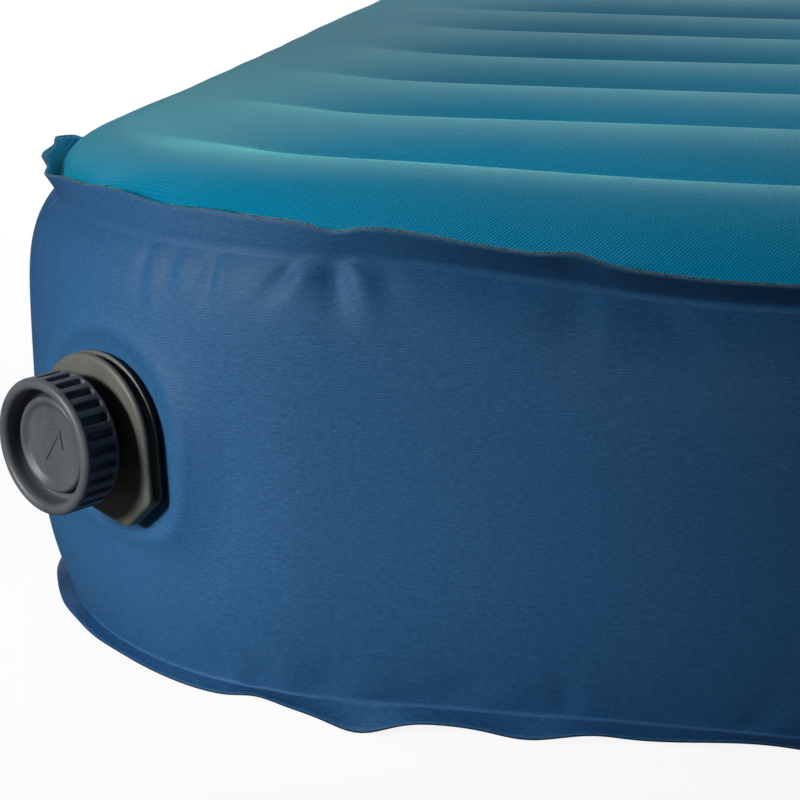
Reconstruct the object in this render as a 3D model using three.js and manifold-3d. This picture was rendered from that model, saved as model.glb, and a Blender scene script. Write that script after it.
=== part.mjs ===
// Self-inflating camping mattress with upright side walls and two screw valves.
// Millimetres, +Z up. The origin is at the bottom centre, X runs along the length and Y across it.
import * as THREE from 'three';
import { mergeVertices } from 'three/addons/utils/BufferGeometryUtils.js';
import Module from 'manifold-3d';

// ---- Overall size ----
const LENGTH = 1960;
const WIDTH = 640;
const CORNER_RADIUS = 82; // outer edge of the welded flanges, seen from above
const CORNER_STEPS = 9;
const GAP = 0.3; // clearance that separate pieces keep where they touch

// ---- Fabric shell ----
const FABRIC = 1.0; // coated fabric with its air-tight film
const FLANGE_WIDTH = 8.5; // from the outline in to the seams; the welded edges stand out all round
const BOTTOM_SEAM = 4.0; // height between the two plies of the lower flange
const TOP_SEAM = 95.0; // height between the two plies of the upper flange, at the seam
const TIP_INSET = 3.0; // the upper flange stands up, so its edge is this far in
const TIP_RISE = 6.4; // and this much higher than the seam
const WALL_BULGE = 10.0; // how far air pushes the side wall out from its seams
const WALL_STEPS = 6;
const FLOOR_CURL = 14.0; // width over which the bottom sheet rises to its flange

// ---- Ridged top ----
const RIDGES = 12;
const FIRST_CREST = 32; // from the outline to the first crest
const RIDGE_PITCH = (WIDTH - 2 * FIRST_CREST) / (RIDGES - 1);
const RIDGE_HEIGHT = 7.6;
const TOP_RISE = 4.2; // height of the furrows over the seam
const RISE_LENGTH = 28;
const RIDGE_FADE_START = 30; // where the ridges begin, from each short end
const RIDGE_FADE_LENGTH = 130;

// ---- Core ----
const CORE_INSET = 12.5; // from the outline to the foam
const CORE_CHAMFER = 24;
const LAYER_THICKNESS = 26;
const STRIP_THICKNESS = 1.2;
const STRIP_END_INSET = 90; // strips stop short of the valves

// ---- Valves: distances along the valve's axis, counted outwards from the wall ----
const VALVE_PLACE = THREE.MathUtils.degToRad(34.4); // round the corner, from the long side
const VALVE_FACING = THREE.MathUtils.degToRad(30); // the soft wall lets it face the long side more
const VALVE_HEIGHT = 55.6;
const ROUND_STEPS = 24;
const PLATE_RADIUS = 16.2;
const PLATE_TIP = 19.6;
const PLATE_TIP_HALF = 5;
const PLATE_BACK = 1.4;
const PLATE_FRONT = 4.9;
const PLATE_TURN = THREE.MathUtils.degToRad(43); // its point turns from straight down to the long side
const BARREL_RADIUS = 8;
const BORE_RADIUS = 6.2;
const BARREL_BACK = -22;
const BARREL_FRONT = 10.4;
const SEAT_RADIUS = 4.2;
const CAP_RADIUS = 13.8;
const CAP_BACK = 8.9;
const CAP_FRONT = 17.4;
const CAP_BORE_RADIUS = 9;
const CAP_BORE_FRONT = 12.2;
const CAP_RECESS_RADIUS = 11.4;
const CAP_RECESS_DEPTH = 4.2;
const CAP_GRIPS = 28;
const STEM_RADIUS = 2;
const SEAT_FRONT = -10.4; // outer face of the spider that carries the check flap
const SEAT_THICKNESS = 1.6;
const FLAP_THICKNESS = 1;
const FLAP_TRAVEL = 1.2;
const PEG_RADIUS = 0.9;

const manifoldLibrary = await Module();
manifoldLibrary.setup();

// ---- Materials ----
function material(name, color, roughness) {
  const made = new THREE.MeshStandardMaterial({ color, roughness, metalness: 0 });
  made.name = name;
  return made;
}

const topFabric = material('top_fabric', 0x1b7d92, 0.75);
const wallFabric = material('wall_fabric', 0x22507e, 0.7);
const baseFabric = material('base_fabric', 0x1c3a63, 0.8);
const foam = material('foam', 0xd9cfae, 0.95);
const stripFabric = material('strip_fabric', 0xcfd3d6, 0.85);
const hardPlastic = material('hard_plastic', 0x24272a, 0.45);
const softPlastic = material('soft_plastic', 0x2c3034, 0.55);
const rubber = material('rubber', 0x171717, 0.8);

// ---- General helpers ----
function closedGeometry(positions, indices) {
  const geometry = new THREE.BufferGeometry();
  geometry.setAttribute('position', new THREE.Float32BufferAttribute(positions, 3));
  geometry.setIndex(indices);
  geometry.computeVertexNormals();
  return geometry;
}

function toManifold(geometry) {
  const bare = geometry.clone();
  bare.deleteAttribute('normal');
  bare.deleteAttribute('uv');
  const merged = mergeVertices(bare, 1e-4);
  return new manifoldLibrary.Manifold(new manifoldLibrary.Mesh({
    numProp: 3,
    vertProperties: new Float32Array(merged.attributes.position.array),
    triVerts: new Uint32Array(merged.index.array),
  }));
}

function toGeometry(solid) {
  const mesh = solid.getMesh();
  return closedGeometry(Array.from(mesh.vertProperties), Array.from(mesh.triVerts));
}

function namedMesh(name, geometry, look) {
  const mesh = new THREE.Mesh(geometry, look);
  mesh.name = name;
  return mesh;
}

// The mattress outline, moved inwards by inset, as counter-clockwise points.
function outline(inset) {
  const points = [];
  const centreX = LENGTH / 2 - CORNER_RADIUS;
  const centreY = WIDTH / 2 - CORNER_RADIUS;
  const radius = CORNER_RADIUS - inset;
  const corners = [[1, 1], [-1, 1], [-1, -1], [1, -1]];
  corners.forEach(([signX, signY], quarter) => {
    for (let step = 0; step <= CORNER_STEPS; step += 1) {
      const angle = (quarter + step / CORNER_STEPS) * Math.PI / 2;
      points.push([
        signX * centreX + radius * Math.cos(angle),
        signY * centreY + radius * Math.sin(angle),
      ]);
    }
  });
  return points;
}

// A solid through rings of [inset, z]. A closed section makes a loop; an open one is capped.
function ringSolid(section, isLoop) {
  const positions = [];
  const indices = [];
  const rings = section.map(([inset, z]) => outline(inset).map(([x, y]) => [x, y, z]));
  rings.forEach((ring) => ring.forEach((point) => positions.push(...point)));
  const count = rings[0].length;
  const bands = isLoop ? rings.length : rings.length - 1;
  for (let band = 0; band < bands; band += 1) {
    const low = band * count;
    const high = ((band + 1) % rings.length) * count;
    for (let step = 0; step < count; step += 1) {
      const next = (step + 1) % count;
      indices.push(low + step, low + next, high + next);
      indices.push(low + step, high + next, high + step);
    }
  }
  if (!isLoop) {
    const last = (rings.length - 1) * count;
    for (let step = 1; step < count - 1; step += 1) {
      indices.push(0, step + 1, step);
      indices.push(last, last + step, last + step + 1);
    }
  }
  return closedGeometry(positions, indices);
}

// A solid of revolution about +Z from [radius, z] points.
function turned(profile, steps = ROUND_STEPS) {
  const points = profile.map(([radius, z]) => new THREE.Vector2(radius, z));
  const geometry = new THREE.LatheGeometry(points, steps);
  geometry.rotateX(Math.PI / 2);
  return geometry;
}

// A tube about +Z with a rectangular section, as a profile that closes on itself.
function tube(inner, outer, back, front, steps = ROUND_STEPS) {
  return turned([[inner, back], [outer, back], [outer, front], [inner, front], [inner, back]], steps);
}

function disc(radius, back, front, steps = ROUND_STEPS) {
  return turned([[0, back], [radius, back], [radius, front], [0, front]], steps);
}

// ---- Fabric shell ----
function edgeDistance(x, y) {
  const pastX = Math.abs(x) - (LENGTH / 2 - CORNER_RADIUS);
  const pastY = Math.abs(y) - (WIDTH / 2 - CORNER_RADIUS);
  if (pastX > 0 && pastY > 0) {
    return CORNER_RADIUS - Math.hypot(pastX, pastY);
  }
  return CORNER_RADIUS - Math.max(pastX, pastY);
}

// Height of the top sheet over its seam: the flange stands up outside the seam, and inside it
// the sheet rises and then rolls over the ridges.
function topHeight(x, y) {
  const inside = edgeDistance(x, y) - FLANGE_WIDTH;
  if (inside < 0) {
    return -inside * (TIP_RISE + GAP / 2) / (FLANGE_WIDTH - TIP_INSET);
  }
  const rise = THREE.MathUtils.clamp(inside / RISE_LENGTH, 0, 1);
  const fromEnd = LENGTH / 2 - Math.abs(x) - RIDGE_FADE_START;
  const fade = THREE.MathUtils.smoothstep(fromEnd, 0, RIDGE_FADE_LENGTH);
  const phase = 2 * Math.PI * (y + WIDTH / 2 - FIRST_CREST) / RIDGE_PITCH;
  const ridge = 0.5 + 0.5 * Math.cos(phase);
  const rounded = 1 - (1 - rise) * (1 - rise);
  return rounded * (TOP_RISE + RIDGE_HEIGHT * (fade * ridge + (1 - fade) * 0.45));
}

function halfWidthAt(x, inset) {
  const past = Math.max(0, Math.abs(x) - (LENGTH / 2 - CORNER_RADIUS));
  const radius = CORNER_RADIUS - inset;
  return WIDTH / 2 - CORNER_RADIUS + Math.sqrt(Math.max(0, radius * radius - past * past));
}

function topStations() {
  const straight = LENGTH / 2 - CORNER_RADIUS;
  const seam = Math.asin((CORNER_RADIUS - FLANGE_WIDTH) / CORNER_RADIUS);
  const corner = [0.2, 0.4, 0.6, 0.8, 1].map((part) => straight + CORNER_RADIUS * Math.sin(part * seam));
  const positive = [straight / 3, straight * 0.65, straight * 0.85, straight, ...corner];
  positive.push(LENGTH / 2 - TIP_INSET - 0.3);
  return [...positive.map((x) => -x).reverse(), 0, ...positive];
}

function topSheet() {
  const stations = topStations();
  const seamHalf = WIDTH / 2 - FLANGE_WIDTH;
  const fractions = [-1];
  for (let half = 0; half <= 2 * (RIDGES - 1); half += 1) {
    fractions.push((-WIDTH / 2 + FIRST_CREST + half * RIDGE_PITCH / 2) / seamHalf);
  }
  fractions.push(1);
  const upper = stations.map((x, row) => {
    const isEnd = row === 0 || row === stations.length - 1;
    const placed = isEnd ? Math.sign(x) * (LENGTH / 2 - TIP_INSET) : x;
    const seam = halfWidthAt(x, FLANGE_WIDTH);
    const edge = halfWidthAt(x, TIP_INSET);
    const across = [-edge, ...fractions.map((part) => part * seam), edge];
    return across.map((y) => [placed, y, TOP_SEAM + GAP / 2 + FABRIC + topHeight(placed, y)]);
  });
  const rows = upper.length;
  const width = upper[0].length;
  const positions = [];
  upper.forEach((line) => line.forEach(([x, y, z]) => positions.push(x, y, z)));
  upper.forEach((line) => line.forEach(([x, y, z]) => positions.push(x, y, z - FABRIC)));
  const under = rows * width;
  const indices = [];
  const quad = (a, b, c, d) => indices.push(a, b, c, a, c, d);
  for (let row = 0; row < rows - 1; row += 1) {
    for (let column = 0; column < width - 1; column += 1) {
      const corner = row * width + column;
      quad(corner, corner + width, corner + width + 1, corner + 1);
      quad(under + corner, under + corner + 1, under + corner + width + 1, under + corner + width);
    }
  }
  for (let row = 0; row < rows - 1; row += 1) {
    const low = row * width;
    const high = low + width - 1;
    quad(low, under + low, under + low + width, low + width);
    quad(high, high + width, under + high + width, under + high);
  }
  for (let column = 0; column < width - 1; column += 1) {
    const first = column;
    const last = (rows - 1) * width + column;
    quad(first, first + 1, under + first + 1, under + first);
    quad(last, under + last, under + last + 1, last + 1);
  }
  return closedGeometry(positions, indices);
}

function wallInset(part) {
  return FLANGE_WIDTH - WALL_BULGE * (1 - Math.abs(2 * part - 1) ** 3);
}

function sideBandBlank() {
  const low = BOTTOM_SEAM + GAP / 2;
  const high = TOP_SEAM - GAP / 2;
  const outer = [[0, low], [0, low + FABRIC]];
  const inner = [];
  for (let step = 0; step <= WALL_STEPS; step += 1) {
    const part = step / WALL_STEPS;
    outer.push([wallInset(part), low + FABRIC + part * (high - low - 2 * FABRIC)]);
    inner.unshift([wallInset(part) + FABRIC, low + part * (high - low)]);
  }
  outer.push([TIP_INSET, high - FABRIC + TIP_RISE]);
  outer.push([TIP_INSET, high + TIP_RISE], [FLANGE_WIDTH, high]);
  return ringSolid([...outer, ...inner], true);
}

function bottomSheet() {
  const flange = BOTTOM_SEAM - GAP / 2;
  const curlEnd = FLANGE_WIDTH + FLOOR_CURL;
  return ringSolid([
    [curlEnd, 0],
    [FLANGE_WIDTH, flange - FABRIC],
    [0, flange - FABRIC],
    [0, flange],
    [FLANGE_WIDTH, flange],
    [curlEnd, FABRIC],
  ], false);
}

// ---- Core: two foam layers tied together by lengthwise strips ----
function lowerFoam() {
  const bottom = FABRIC + GAP;
  return ringSolid([
    [CORE_INSET + CORE_CHAMFER, bottom],
    [CORE_INSET, BOTTOM_SEAM + 3],
    [CORE_INSET, bottom + LAYER_THICKNESS],
  ], false);
}

function upperFoam() {
  const top = TOP_SEAM + TOP_RISE - GAP;
  return ringSolid([
    [CORE_INSET, top - LAYER_THICKNESS],
    [CORE_INSET, TOP_SEAM - 3],
    [CORE_INSET + CORE_CHAMFER, top],
  ], false);
}

function tieStrip() {
  const low = FABRIC + GAP + LAYER_THICKNESS + GAP;
  const high = TOP_SEAM + TOP_RISE - GAP - LAYER_THICKNESS - GAP;
  const geometry = new THREE.BoxGeometry(LENGTH - 2 * STRIP_END_INSET, STRIP_THICKNESS, high - low);
  geometry.translate(0, 0, (low + high) / 2);
  return geometry;
}

// ---- Valve pieces, each about its own +Z axis that points out of the wall ----
// Round, with two straight edges that run off it to a blunt point below.
function plateShape(margin, holeRadius) {
  const radius = PLATE_RADIUS + margin;
  const tipAngle = Math.atan2(PLATE_TIP_HALF, PLATE_TIP);
  const tipDistance = Math.hypot(PLATE_TIP_HALF, PLATE_TIP);
  const leave = tipAngle + Math.acos(PLATE_RADIUS / tipDistance);
  const shape = new THREE.Shape();
  shape.moveTo(-PLATE_TIP_HALF, -PLATE_TIP - margin);
  shape.lineTo(PLATE_TIP_HALF, -PLATE_TIP - margin);
  shape.absarc(0, 0, radius, leave - Math.PI / 2, 3 * Math.PI / 2 - leave, false);
  shape.closePath();
  const hole = new THREE.Path();
  hole.absarc(0, 0, holeRadius, 0, 2 * Math.PI, true);
  shape.holes.push(hole);
  return shape;
}

function plateSolid(margin, back, front, bevel) {
  const geometry = new THREE.ExtrudeGeometry(plateShape(margin - bevel, BARREL_RADIUS + GAP + bevel), {
    depth: front - back - 2 * bevel,
    curveSegments: ROUND_STEPS / 2,
    bevelEnabled: bevel > 0,
    bevelThickness: bevel,
    bevelSize: bevel,
    bevelSegments: 1,
  });
  geometry.translate(0, 0, back + bevel);
  return geometry;
}

function barrel() {
  return turned([
    [BORE_RADIUS, BARREL_BACK],
    [BARREL_RADIUS, BARREL_BACK],
    [BARREL_RADIUS, BARREL_FRONT],
    [BORE_RADIUS, BARREL_FRONT],
    [BORE_RADIUS, 0],
    [SEAT_RADIUS, 0],
    [SEAT_RADIUS, -2],
    [BORE_RADIUS, -2],
    [BORE_RADIUS, BARREL_BACK],
  ]);
}

function poppet() {
  const stemEnd = CAP_FRONT - CAP_RECESS_DEPTH - 0.1;
  return turned([[0, 2.4], [BORE_RADIUS - 0.4, 2.4], [BORE_RADIUS - 0.4, 4.4], [STEM_RADIUS, 4.4],
    [STEM_RADIUS, stemEnd], [0, stemEnd]]);
}

function ringSeal(radius, thickness, height) {
  const geometry = new THREE.TorusGeometry(radius, thickness / 2, 6, ROUND_STEPS);
  geometry.translate(0, 0, height);
  return geometry;
}

// The grip: ribs all round the cap's side, behind a smooth rim.
function cap() {
  const shape = new THREE.Shape();
  const ribDepth = 1.1;
  for (let grip = 0; grip < CAP_GRIPS; grip += 1) {
    const turn = 2 * Math.PI / CAP_GRIPS;
    const start = grip * turn;
    [[0, 0], [0.45, 0], [0.72, ribDepth]].forEach(([part, depth], corner) => {
      const angle = start + part * turn;
      const radius = CAP_RADIUS - depth;
      const x = radius * Math.cos(angle);
      const y = radius * Math.sin(angle);
      if (grip === 0 && corner === 0) {
        shape.moveTo(x, y);
      } else {
        shape.lineTo(x, y);
      }
    });
  }
  shape.closePath();
  const gripHeight = 7;
  const grips = new THREE.ExtrudeGeometry(shape, { depth: gripHeight, bevelEnabled: false });
  grips.translate(0, 0, CAP_BACK);
  const rim = turned([
    [0, CAP_BACK + gripHeight - 1],
    [CAP_RADIUS - 0.6, CAP_BACK + gripHeight - 1],
    [CAP_RADIUS, CAP_FRONT - 1.1],
    [CAP_RADIUS - 0.4, CAP_FRONT - 0.4],
    [CAP_RADIUS - 1.2, CAP_FRONT],
    [0, CAP_FRONT],
  ]);
  const skirtHollow = disc(CAP_BORE_RADIUS, CAP_BACK - 1, CAP_BORE_FRONT);
  const stemHole = disc(STEM_RADIUS + GAP, CAP_BACK, CAP_FRONT + 1);
  const faceRecess = disc(CAP_RECESS_RADIUS, CAP_FRONT - CAP_RECESS_DEPTH, CAP_FRONT + 1);
  return toGeometry(toManifold(grips)
    .add(toManifold(rim))
    .subtract(toManifold(skirtHollow))
    .subtract(toManifold(stemHole))
    .subtract(toManifold(faceRecess)));
}

// A dished disc with a raised border.
function capCentre() {
  const back = CAP_FRONT - CAP_RECESS_DEPTH + GAP;
  return turned([[0, back], [9.7, back], [9.7, back + 1.2], [9.2, back + 1.7], [8.6, back + 1.7],
    [7.7, back + 1], [0, back + 1]]);
}

// A spider that carries the flap: a ring, a hub, three spokes and a headed peg on the flap's side.
function flapSeat(flapSide) {
  const back = SEAT_FRONT - SEAT_THICKNESS;
  const outerRadius = BORE_RADIUS - GAP;
  const span = ([from, to], radius) => disc(radius, Math.min(from, to), Math.max(from, to));
  const face = flapSide > 0 ? SEAT_FRONT : back;
  const headStart = face + flapSide * (FLAP_THICKNESS + FLAP_TRAVEL + 2 * GAP);
  const headEnd = headStart + flapSide * 0.8;
  let solid = toManifold(tube(outerRadius - 1.2, outerRadius, back, SEAT_FRONT))
    .add(toManifold(disc(1.6, back, SEAT_FRONT)))
    .add(toManifold(span([face - flapSide * 0.5, headEnd], PEG_RADIUS)))
    .add(toManifold(span([headStart, headEnd], 2 * PEG_RADIUS)));
  for (let spoke = 0; spoke < 3; spoke += 1) {
    const arm = new THREE.BoxGeometry(outerRadius - 0.6, 1, SEAT_THICKNESS);
    arm.translate((outerRadius - 0.6) / 2, 0, (SEAT_FRONT + back) / 2);
    arm.rotateZ(spoke * 2 * Math.PI / 3);
    solid = solid.add(toManifold(arm));
  }
  return toGeometry(solid);
}

function checkFlap(flapSide) {
  const seatFace = flapSide > 0 ? SEAT_FRONT : SEAT_FRONT - SEAT_THICKNESS;
  const middle = seatFace + flapSide * (GAP + FLAP_THICKNESS / 2);
  return tube(PEG_RADIUS + GAP, 5, middle - FLAP_THICKNESS / 2, middle + FLAP_THICKNESS / 2);
}

// A short cup with side windows that keeps foam off the valve.
function guardCage() {
  const front = BARREL_BACK - GAP;
  const back = front - 9;
  const outerRadius = 9.5;
  let solid = toManifold(disc(outerRadius, back, front))
    .subtract(toManifold(disc(outerRadius - 1.4, back + 1.4, front + 1)));
  for (let window = 0; window < 3; window += 1) {
    const opening = new THREE.BoxGeometry(4 * outerRadius, 4, 4.5);
    opening.translate(0, 0, (front + back) / 2);
    opening.rotateZ(window * Math.PI / 3);
    solid = solid.subtract(toManifold(opening));
  }
  return toGeometry(solid);
}

// prefix names the valve; flapSide is -1 where air is let in and +1 where it is let out.
function valve(prefix, side, flapSide) {
  const group = new THREE.Group();
  const plateTurn = -side * PLATE_TURN;
  const pieces = [
    ['weld_flange', plateSolid(-0.6, GAP, PLATE_BACK - GAP, 0).rotateZ(plateTurn), softPlastic],
    ['face_plate', plateSolid(0, PLATE_BACK, PLATE_FRONT, 0.8).rotateZ(plateTurn), hardPlastic],
    ['barrel', barrel(), hardPlastic],
    ['poppet', poppet(), hardPlastic],
    ['poppet_seal', ringSeal(5, 1.6, 1.2), rubber],
    ['cap', cap(), hardPlastic],
    ['cap_centre', capCentre(), softPlastic],
    ['cap_seal', tube(BORE_RADIUS, CAP_BORE_RADIUS - GAP, BARREL_FRONT + GAP, CAP_BORE_FRONT - GAP), rubber],
    ['flap_seat', flapSeat(flapSide), hardPlastic],
    ['check_flap', checkFlap(flapSide), rubber],
    ['guard_cage', guardCage(), softPlastic],
  ];
  pieces.forEach(([name, geometry, look]) => group.add(namedMesh(`${prefix}_${name}`, geometry, look)));
  return group;
}

// Outward direction and place of the valve at a corner of the -X end; side is -1 or +1 in Y.
function valveFrame(side) {
  const outward = new THREE.Vector3(-Math.sin(VALVE_FACING), side * Math.cos(VALVE_FACING), 0);
  const up = new THREE.Vector3(0, 0, 1);
  const along = new THREE.Vector3().crossVectors(up, outward);
  const reach = CORNER_RADIUS - FLANGE_WIDTH + WALL_BULGE;
  const centre = new THREE.Vector3(
    -LENGTH / 2 + CORNER_RADIUS - reach * Math.sin(VALVE_PLACE),
    side * (WIDTH / 2 - CORNER_RADIUS + reach * Math.cos(VALVE_PLACE)),
    VALVE_HEIGHT,
  );
  return new THREE.Matrix4().makeBasis(along, up, outward).setPosition(centre);
}

// ---- Assembly ----
const mattress = new THREE.Group();
mattress.name = 'air_mattress';

const valveSides = [['out_valve', -1, 1], ['in_valve', 1, -1]];

let bandSolid = toManifold(sideBandBlank());
valveSides.forEach(([, side]) => {
  const hole = disc(BARREL_RADIUS + GAP, -12, 12).applyMatrix4(valveFrame(side));
  bandSolid = bandSolid.subtract(toManifold(hole));
});

mattress.add(namedMesh('top_sheet', topSheet(), topFabric));
mattress.add(namedMesh('side_band', toGeometry(bandSolid), wallFabric));
mattress.add(namedMesh('bottom_sheet', bottomSheet(), baseFabric));
mattress.add(namedMesh('foam_layer_upper', upperFoam(), foam));
mattress.add(namedMesh('foam_layer_lower', lowerFoam(), foam));

for (let strip = 1; strip < RIDGES; strip += 1) {
  const name = `tie_strip_${String(strip).padStart(2, '0')}`;
  const mesh = namedMesh(name, tieStrip(), stripFabric);
  mesh.position.y = -WIDTH / 2 + FIRST_CREST + (strip - 0.5) * RIDGE_PITCH;
  mattress.add(mesh);
}

valveSides.forEach(([prefix, side, flapSide]) => {
  const group = valve(prefix, side, flapSide);
  group.applyMatrix4(valveFrame(side));
  mattress.add(group);
});

export default mattress;
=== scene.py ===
"""Looks of the self-inflating camping mattress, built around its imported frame."""
import math

import bmesh
import bpy
import numpy as np
from mathutils import Matrix, Vector


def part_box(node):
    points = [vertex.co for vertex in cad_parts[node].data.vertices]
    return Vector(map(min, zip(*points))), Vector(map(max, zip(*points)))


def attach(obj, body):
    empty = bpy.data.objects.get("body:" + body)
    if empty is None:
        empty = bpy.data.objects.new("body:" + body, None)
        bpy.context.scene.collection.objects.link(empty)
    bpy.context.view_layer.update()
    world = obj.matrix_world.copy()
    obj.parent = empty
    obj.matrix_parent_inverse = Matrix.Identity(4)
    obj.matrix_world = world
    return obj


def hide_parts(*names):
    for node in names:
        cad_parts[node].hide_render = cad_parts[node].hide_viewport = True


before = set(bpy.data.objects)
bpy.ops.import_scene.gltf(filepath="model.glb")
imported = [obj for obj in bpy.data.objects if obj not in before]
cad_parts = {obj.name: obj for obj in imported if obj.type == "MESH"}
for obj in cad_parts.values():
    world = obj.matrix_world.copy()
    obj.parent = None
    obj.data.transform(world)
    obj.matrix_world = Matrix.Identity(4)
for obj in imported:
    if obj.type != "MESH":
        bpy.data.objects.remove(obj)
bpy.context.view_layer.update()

# ---- Driving sizes, in millimetres; the outline comes from the frame ----
MM = 0.001
HALF_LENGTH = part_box("bottom_sheet")[1].x / MM
HALF_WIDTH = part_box("bottom_sheet")[1].y / MM
CORNER = 82.0  # plan radius of the outline
FLANGE = 8.5  # from the outline in to the seams
PLY = 0.2  # thickness of one layer of coated fabric
WELD_GAP = 0.04  # each welded ply stands off the line of the weld by this much
EDGE_SLANT = 0.2  # the trimmed edge of the top flange leans out by this much at its foot
WALL_BACK = 1.2  # from the outer face of the wall in to its inner face
TOP_BACK = 0.9  # from the upper face of the top down to its under face
TOP_SEAM = 95.0
TOP_TIP_INSET = 3.0
TOP_TIP_RISE = 6.6
BOTTOM_SEAM = 5.2
BOTTOM_FLANGE = 6.0
BOTTOM_TIP_INSET = 0.0
BOTTOM_TIP_DROP = 0.8
BULGE = 8.6  # of the long sides
END_BULGE = 3.2  # added to it at the short ends
RIDGES = 12
FIRST_CREST = 32.0
RIDGE_PITCH = (2 * HALF_WIDTH - 2 * FIRST_CREST) / (RIDGES - 1)
RIDGE_HEIGHT = 8.0
FURROW_RISE = 4.1
RISE_LENGTH = 30.0  # from the seam of a long side in to the full height
END_RISE_LENGTH = 15.0  # the same at a short end
RIDGES_FROM, RIDGES_FULL = 20, 104  # from a short end to where the ridges start and are full
VALVE_PLACE = math.radians(34.4)  # round the corner, from the long side
VALVE_FACING = math.radians(30)
VALVE_REACH = 83.5  # from the corner's centre to the wall under the valve
VALVE_HEIGHT = 55.6
PLATE_RADIUS = 16.2
PLATE_TIP = 19.6
PLATE_TIP_HALF = 5.0
PLATE_TURN = math.radians(43)  # the plate's point turns from straight down to the long side
SEED = 11


def add_object(name, data):
    """Puts an object with the given data in the scene."""
    made = bpy.data.objects.new(name, data)
    bpy.context.collection.objects.link(made)
    return made


# ---- Camera: the corner seen from close by ----
CAMERA_PLACE = (-0.8065, -0.665, 0.1803)
CAMERA_YAW = math.radians(12.5)
CAMERA_PITCH = math.radians(17.4)
camera_data = bpy.data.cameras.new("camera")
camera_data.lens = 90
camera_data.sensor_width = 36
camera_data.clip_start = 0.01
camera = add_object("camera", camera_data)
camera.location = CAMERA_PLACE
camera.rotation_euler = (math.pi / 2 - CAMERA_PITCH, 0, CAMERA_YAW)
bpy.context.scene.camera = camera


# ---- Small maths helpers ----
def smooth(low, high, x):
    """Eases from 0 at low to 1 at high."""
    t = np.clip((np.asarray(x, float) - low) / (high - low), 0, 1)
    return t * t * (3 - 2 * t)


def bumps(x, features):
    """Sum of bell curves, each (place, height, width)."""
    total = np.zeros_like(x, float)
    for place, height, width in features:
        total += height * np.exp(-(((x - place) / width) ** 2))
    return total


# ---- The outline: samples all round, each a base point and an outward direction ----
INNER_X = HALF_LENGTH - CORNER
INNER_Y = HALF_WIDTH - CORNER
FAR_CORNER_STEPS = 44
INLET_CORNER_STEPS = 60
OUTLET_CORNER_STEPS = 96


def graded(low, high, fine_length, fine, coarse):
    """Places from low to high: fine steps for the first stretch, then coarse ones."""
    first = np.linspace(low, low + fine_length, int(round(fine_length / fine)) + 1)
    steps = int(round((high - low - fine_length) / coarse))
    return np.concatenate([first, np.linspace(low + fine_length, high, steps + 1)[1:]])


SIDE_X = graded(-INNER_X, INNER_X, fine_length=300, fine=1.5, coarse=5.0)
SIDE_Y = graded(-INNER_Y, INNER_Y, fine_length=160, fine=1.6, coarse=3.4)


def build_loop():
    """Base points, outward directions, their angles, distances along the outline, its length."""
    base, angle = [], []

    def straight(points, direction):
        base.extend(points)
        angle.extend([direction] * len(points))

    def arc(cx, cy, start, steps):
        for step in range(1, steps):
            base.append((cx, cy))
            angle.append(start + math.pi / 2 * step / steps)

    straight([(x, -INNER_Y) for x in SIDE_X], -math.pi / 2)
    arc(INNER_X, -INNER_Y, -math.pi / 2, FAR_CORNER_STEPS)
    straight([(INNER_X, y) for y in SIDE_Y], 0.0)
    arc(INNER_X, INNER_Y, 0.0, FAR_CORNER_STEPS)
    straight([(x, INNER_Y) for x in SIDE_X[::-1]], math.pi / 2)
    arc(-INNER_X, INNER_Y, math.pi / 2, INLET_CORNER_STEPS)
    straight([(-INNER_X, y) for y in SIDE_Y[::-1]], math.pi)
    arc(-INNER_X, -INNER_Y, math.pi, OUTLET_CORNER_STEPS)
    base, angle = np.array(base), np.array(angle)
    normal = np.stack([np.cos(angle), np.sin(angle)], axis=1)
    outline = base + normal * CORNER
    steps = np.linalg.norm(np.diff(outline, axis=0, append=outline[:1]), axis=1)
    along = np.concatenate([[0], np.cumsum(steps)[:-1]])
    return base, normal, angle, along, float(steps.sum())


BASE, NORMAL, ANGLE, ALONG, PERIMETER = build_loop()
COUNT = len(BASE)


def wrapped(distance):
    """A distance along the outline, brought to within half the outline either way."""
    return (distance + PERIMETER / 2) % PERIMETER - PERIMETER / 2


# Distance along the outline from the middle of the corner at -X -Y, positive along the front.
TURN = wrapped(ALONG + CORNER * math.pi / 4)
QUIET_TO = 175.0  # the seeded bumps start here along TURN


def around(chosen, spacing, height, width, seed, quiet_from):
    """A wavy line all round: chosen bumps near the front corner and seeded ones elsewhere."""
    random = np.random.default_rng(seed)
    total = bumps(TURN, chosen)
    place = QUIET_TO
    while place < PERIMETER + quiet_from:
        size = height * random.uniform(0.35, 1.0) * random.choice([-1, 1])
        wide = width * random.uniform(0.6, 1.4)
        total += size * np.exp(-((wrapped(TURN - place) / wide) ** 2))
        place += spacing * random.uniform(0.6, 1.4)
    return total


def from_corner():
    """Distance along the outline from the middle of the nearest corner."""
    away = np.full(COUNT, PERIMETER)
    for corner in range(4):
        middle = (corner + 0.5) * math.pi / 2
        swing = (ANGLE - middle + math.pi) % (2 * math.pi) - math.pi
        place = ALONG[np.argmin(np.abs(swing))]
        away = np.minimum(away, np.abs(wrapped(ALONG - place)))
    return away


AWAY = from_corner()
SIDENESS = smooth(55, 135, AWAY)  # 0 in the corners, 1 along the straight sides
ENDNESS = np.abs(NORMAL[:, 0])  # 1 on the short ends, 0 on the long sides
EAR = (1 - smooth(60, 82, AWAY)) * smooth(0.72, 0.9, ENDNESS)  # the crimped start of each short end

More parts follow.
